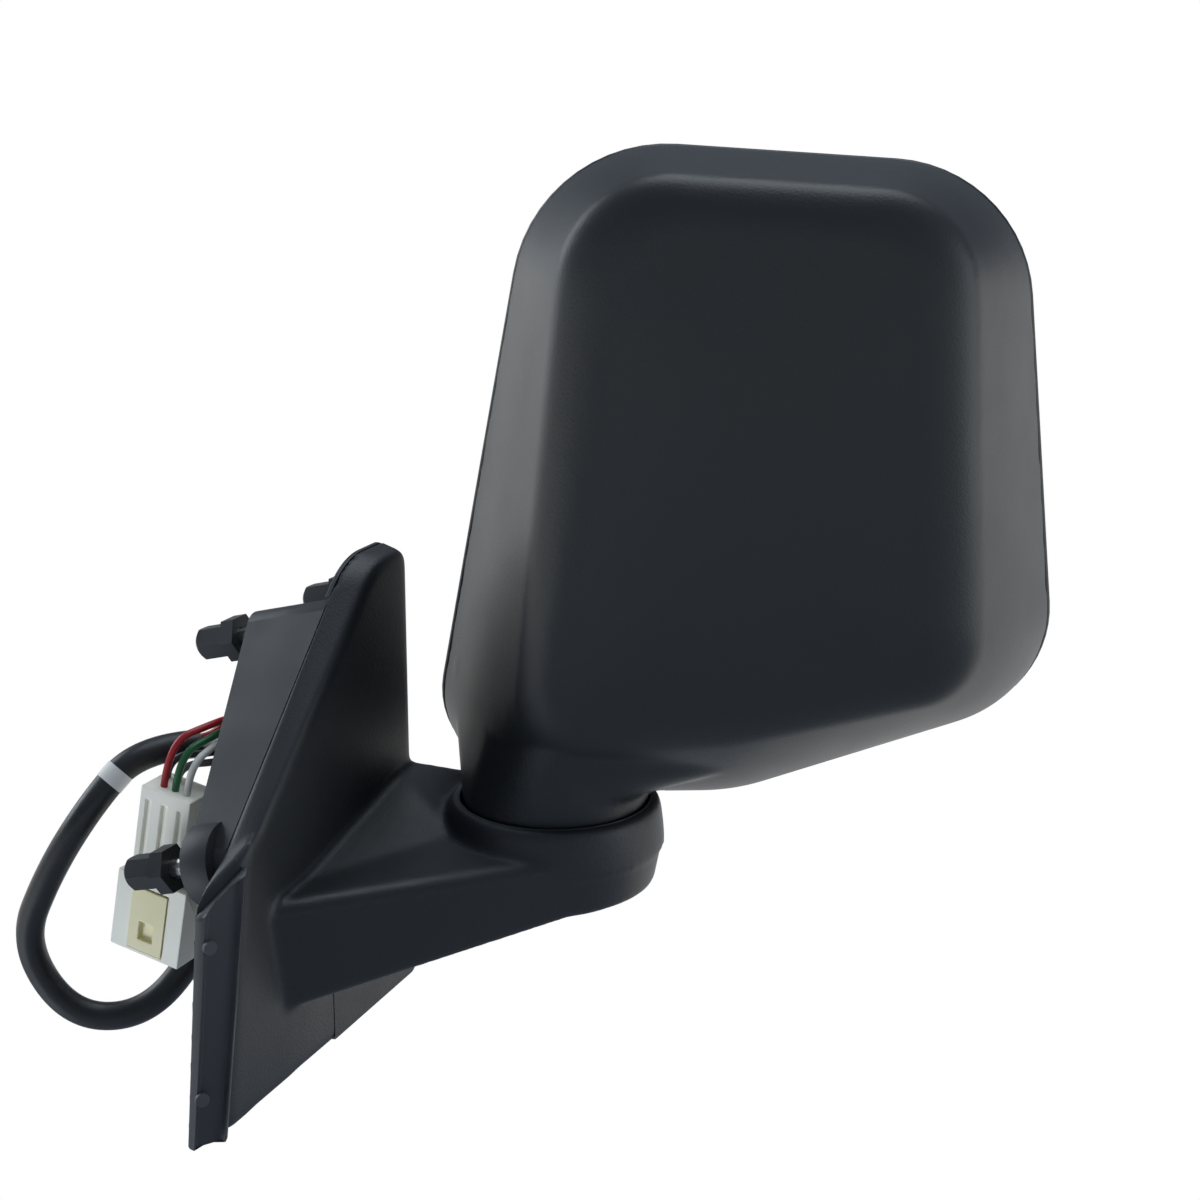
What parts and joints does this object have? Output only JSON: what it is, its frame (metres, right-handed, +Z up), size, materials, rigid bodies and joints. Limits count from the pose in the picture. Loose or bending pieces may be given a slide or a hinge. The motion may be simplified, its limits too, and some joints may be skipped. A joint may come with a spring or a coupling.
{
  "type": "car door mirror",
  "caption": "left-hand car door mirror: folding trapezoid head with motor-driven glass on a moulded sail base, three capped mounting studs and a wiring pigtail",
  "frame": {"origin": "on the leaning mounting face of the base bracket, between the studs", "axes": "+X outboard from the car door, +Y towards the rear of the car, +Z up"},
  "size_m": [0.2675, 0.1924, 0.2647],
  "materials": {
    "grained_abs": "moulded fine grain",
    "cast_zinc_black": "die-cast, black coat",
    "cast_aluminium": "as cast",
    "zinc_plated_steel": "bright zinc plate",
    "spring_steel": "oiled",
    "pivot_steel": "turned",
    "black_screws": "black zinc",
    "cap_nylon": "moulded",
    "epdm": "extruded",
    "clip_nylon": "moulded",
    "acetal": "moulded",
    "actuator_plastic": "moulded",
    "motor_steel": "drawn can",
    "worm_brass": "cut",
    "foam_pad": "foam",
    "mirror": "silvered float glass",
    "pvc_black": "extruded",
    "wire_grey": "extruded",
    "wire_red": "extruded",
    "wire_green": "extruded",
    "wire_white": "extruded",
    "connector_pbt": "moulded",
    "lock_pbt": "moulded",
    "tin_plate": "tinned"
  },
  "bodies": {
    "base": {"base_cover": "grained_abs", "corner_panel": "grained_abs", "arm_bottom_cover": "grained_abs", "arm_cover_screws": "black_screws", "base_bracket": "cast_zinc_black", "mounting_studs": "zinc_plated_steel", "cover_screws": "black_screws", "base_gasket": "epdm", "door_edge_seal": "epdm", "edge_seal_clips": "clip_nylon", "harness_grommet": "epdm", "pivot_post": "pivot_steel", "detent_ring": "spring_steel", "pivot_seal": "epdm", "spring_washer": "zinc_plated_steel", "post_retainer": "zinc_plated_steel", "base_lead": "pvc_black", "harness_sleeve": "pvc_black", "wire_black": "pvc_black", "wire_grey": "wire_grey", "wire_red": "wire_red", "wire_green": "wire_green", "wire_white": "wire_white", "connector_housing": "connector_pbt", "connector_lock": "lock_pbt", "connector_terminals": "tin_plate"},
    "head": {"head_housing": "grained_abs", "head_frame": "cast_aluminium", "housing_screws": "black_screws", "pivot_bush": "acetal", "disc_springs": "spring_steel", "actuator_case": "actuator_plastic", "actuator_cover": "actuator_plastic", "actuator_screws": "black_screws", "pan_motor": "motor_steel", "tilt_motor": "motor_steel", "head_lead": "pvc_black"},
    "gimbal": {"gimbal_ring": "acetal"},
    "glass": {"glass_holder": "actuator_plastic", "glass_pad": "foam_pad", "mirror_glass": "mirror"},
    "pan_gear_body": {"pan_gear": "acetal"},
    "tilt_gear_body": {"tilt_gear": "acetal"},
    "pan_worm_body": {"pan_worm": "worm_brass"},
    "tilt_worm_body": {"tilt_worm": "worm_brass"},
    "pan_screw_body": {"pan_jackscrew": "acetal"},
    "tilt_screw_body": {"tilt_jackscrew": "acetal"},
    "cap_lower_body": {"cap_lower": "cap_nylon"},
    "cap_upper_body": {"cap_upper": "cap_nylon"},
    "cap_rear_body": {"cap_rear": "cap_nylon"}
  },
  "joints": [
    {"name": "head_fold", "type": "hinge", "parent": "base", "child": "head", "pos_m": [0.075, 0.048, -0.015], "axis": [0, 0, 1], "range_deg": [-50, 60]},
    {"name": "glass_pan", "type": "hinge", "parent": "head", "child": "gimbal", "pos_m": [0.1189, 0.07941, 0.082], "axis": [0, 0, 1], "range_deg": [-5, 5]},
    {"name": "glass_tilt", "type": "hinge", "parent": "gimbal", "child": "glass", "pos_m": [0.1189, 0.07941, 0.082], "axis": [0.9397, 0.342, 0], "range_deg": [-5, 5]},
    {"name": "pan_screw_slide", "type": "slide", "parent": "head", "child": "pan_screw_body", "axis": [-0.342, 0.9397, 0], "range_m": [-0.0025, 0.0025]},
    {"name": "tilt_screw_slide", "type": "slide", "parent": "head", "child": "tilt_screw_body", "axis": [-0.342, 0.9397, 0], "range_m": [-0.0025, 0.0025]},
    {"name": "pan_gear_spin", "type": "hinge", "parent": "head", "child": "pan_gear_body", "pos_m": [0.15154, 0.0716, 0.082], "axis": [-0.342, 0.9397, 0], "range_deg": [-150, 150]},
    {"name": "tilt_gear_spin", "type": "hinge", "parent": "head", "child": "tilt_gear_body", "pos_m": [0.12523, 0.06203, 0.054], "axis": [-0.342, 0.9397, 0], "range_deg": [-150, 150]},
    {"name": "pan_worm_spin", "type": "hinge", "parent": "head", "child": "pan_worm_body", "pos_m": [0.13848, 0.06685, 0.082], "axis": [0, 0, 1], "range_deg": [-3530, 3530]},
    {"name": "tilt_worm_spin", "type": "hinge", "parent": "head", "child": "tilt_worm_body", "pos_m": [0.12523, 0.06203, 0.0679], "axis": [-0.9397, -0.342, 0], "range_deg": [-3530, 3530]},
    {"name": "cap_lower_pull", "type": "slide", "parent": "base", "child": "cap_lower_body", "axis": [-0.9659, 0, -0.2588], "range_m": [0, 0.018]},
    {"name": "cap_upper_pull", "type": "slide", "parent": "base", "child": "cap_upper_body", "axis": [-0.9659, 0, -0.2588], "range_m": [0, 0.018]},
    {"name": "cap_rear_pull", "type": "slide", "parent": "base", "child": "cap_rear_body", "axis": [-0.9659, 0, -0.2588], "range_m": [0, 0.018]}
  ],
  "couplings": [
    {"joint": "pan_screw_slide", "follows": "glass_pan", "m_per_rad": 0.028},
    {"joint": "pan_gear_spin", "follows": "glass_pan", "ratio": 29.322},
    {"joint": "pan_worm_spin", "follows": "glass_pan", "ratio": 703.72},
    {"joint": "tilt_screw_slide", "follows": "glass_tilt", "m_per_rad": 0.028},
    {"joint": "tilt_gear_spin", "follows": "glass_tilt", "ratio": 29.322},
    {"joint": "tilt_worm_spin", "follows": "glass_tilt", "ratio": 703.72}
  ]
}
